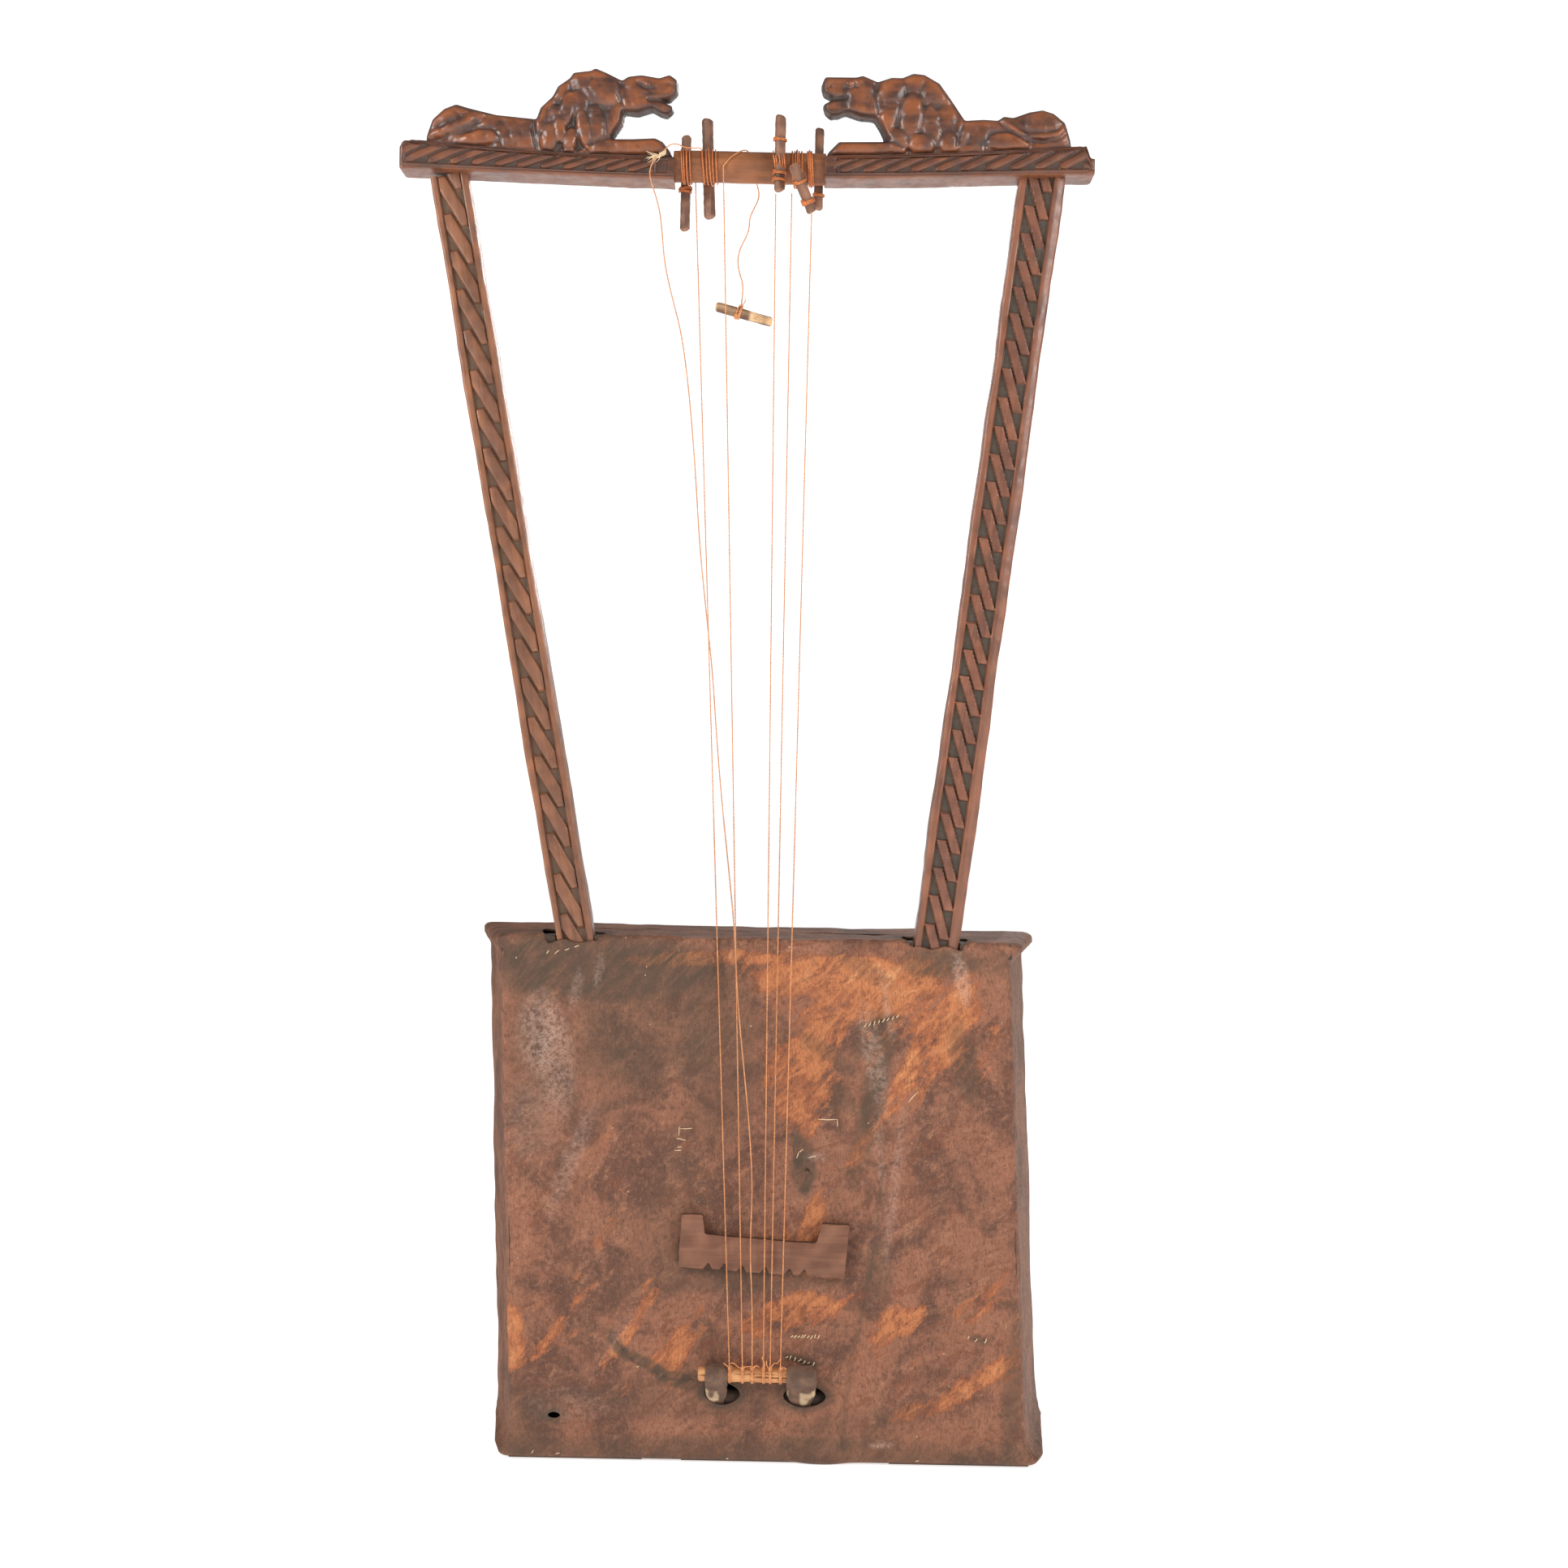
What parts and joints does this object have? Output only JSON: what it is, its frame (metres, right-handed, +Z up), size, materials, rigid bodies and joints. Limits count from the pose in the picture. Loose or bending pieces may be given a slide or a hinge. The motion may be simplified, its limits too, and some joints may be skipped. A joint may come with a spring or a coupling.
{
  "type": "box lyre",
  "caption": "Tall box lyre with a hide-covered soundbox, two carved arms, a carved yoke with two resting lions, tuning sticks, gut strings, bridge and tail stick.",
  "frame": {"origin": "middle of the underside of the soundbox, on the surface that it stands on", "axes": "+Z up along the arms to the yoke, +X to the right seen from the front, +Y towards the back"},
  "size_m": [0.5471, 0.1614, 1.1004],
  "materials": {
    "hide": "worn dark brown hide, soft gloss",
    "frame_wood": "plain sawn wood",
    "carved_wood": "dark red-brown polished carving",
    "bar_wood": "matte, handled brown wood",
    "stick_wood": "whittled dark stick",
    "tail_wood": "light orange stick, split fibres",
    "bridge_wood": "plain matte brown wood",
    "strap_leather": "dark rawhide, cream underside",
    "gut_string": "twisted gut",
    "raw_fibre": "frayed fibre"
  },
  "bodies": {
    "frame": {"hide_cover": "hide", "bottom_board": "frame_wood", "top_board": "frame_wood", "left_wall": "frame_wood", "right_wall": "frame_wood", "frame_dowels": "frame_wood", "back_seam_thong": "strap_leather", "left_arm": "carved_wood", "right_arm": "carved_wood", "crossbar": "frame_wood", "yoke_bar": "bar_wood", "left_yoke_block": "carved_wood", "right_yoke_block": "carved_wood", "left_lion": "carved_wood", "right_lion": "carved_wood", "slack_string": "gut_string", "dangling_string": "gut_string", "link_string": "gut_string", "tail_knots": "gut_string", "loose_stick_knot": "gut_string", "frayed_knot": "raw_fibre", "loose_tuning_stick": "stick_wood", "tail_stick": "tail_wood", "left_tail_strap": "strap_leather", "right_tail_strap": "strap_leather", "string_1": "gut_string", "string_2": "gut_string", "string_3": "gut_string", "string_4": "gut_string", "string_5": "gut_string"},
    "tuner_1": {"tuning_stick_1": "stick_wood", "tuning_winding_1": "gut_string"},
    "tuner_2": {"tuning_stick_2": "stick_wood", "tuning_winding_2": "gut_string"},
    "tuner_3": {"tuning_stick_3": "stick_wood", "tuning_winding_3": "gut_string"},
    "tuner_4": {"tuning_stick_4": "stick_wood", "tuning_winding_4": "gut_string"},
    "tuner_5": {"tuning_stick_5": "stick_wood", "tuning_winding_5": "gut_string"},
    "bridge_piece": {"bridge": "bridge_wood"}
  },
  "joints": [
    {"name": "tuner_1_turn", "type": "hinge", "parent": "frame", "child": "tuner_1", "pos_m": [-0.0851, -0.0565, 1.0248], "axis": [1, 0, 0], "range_deg": [-20, 20]},
    {"name": "tuner_2_turn", "type": "hinge", "parent": "frame", "child": "tuner_2", "pos_m": [-0.0668, -0.0565, 1.0248], "axis": [1, 0, 0], "range_deg": [-20, 20]},
    {"name": "tuner_3_turn", "type": "hinge", "parent": "frame", "child": "tuner_3", "pos_m": [-0.0097, -0.0565, 1.0248], "axis": [1, 0, 0], "range_deg": [-25, 0]},
    {"name": "tuner_4_turn", "type": "hinge", "parent": "frame", "child": "tuner_4", "pos_m": [0.0046, -0.0565, 1.0248], "axis": [1, 0, 0], "range_deg": [0, 20]},
    {"name": "tuner_5_turn", "type": "hinge", "parent": "frame", "child": "tuner_5", "pos_m": [0.0145, -0.0565, 1.0248], "axis": [1, 0, 0], "range_deg": [-20, 3]},
    {"name": "bridge_slide", "type": "slide", "parent": "frame", "child": "bridge_piece", "axis": [0, 0, 1], "range_m": [-0.03, 0.02]}
  ]
}
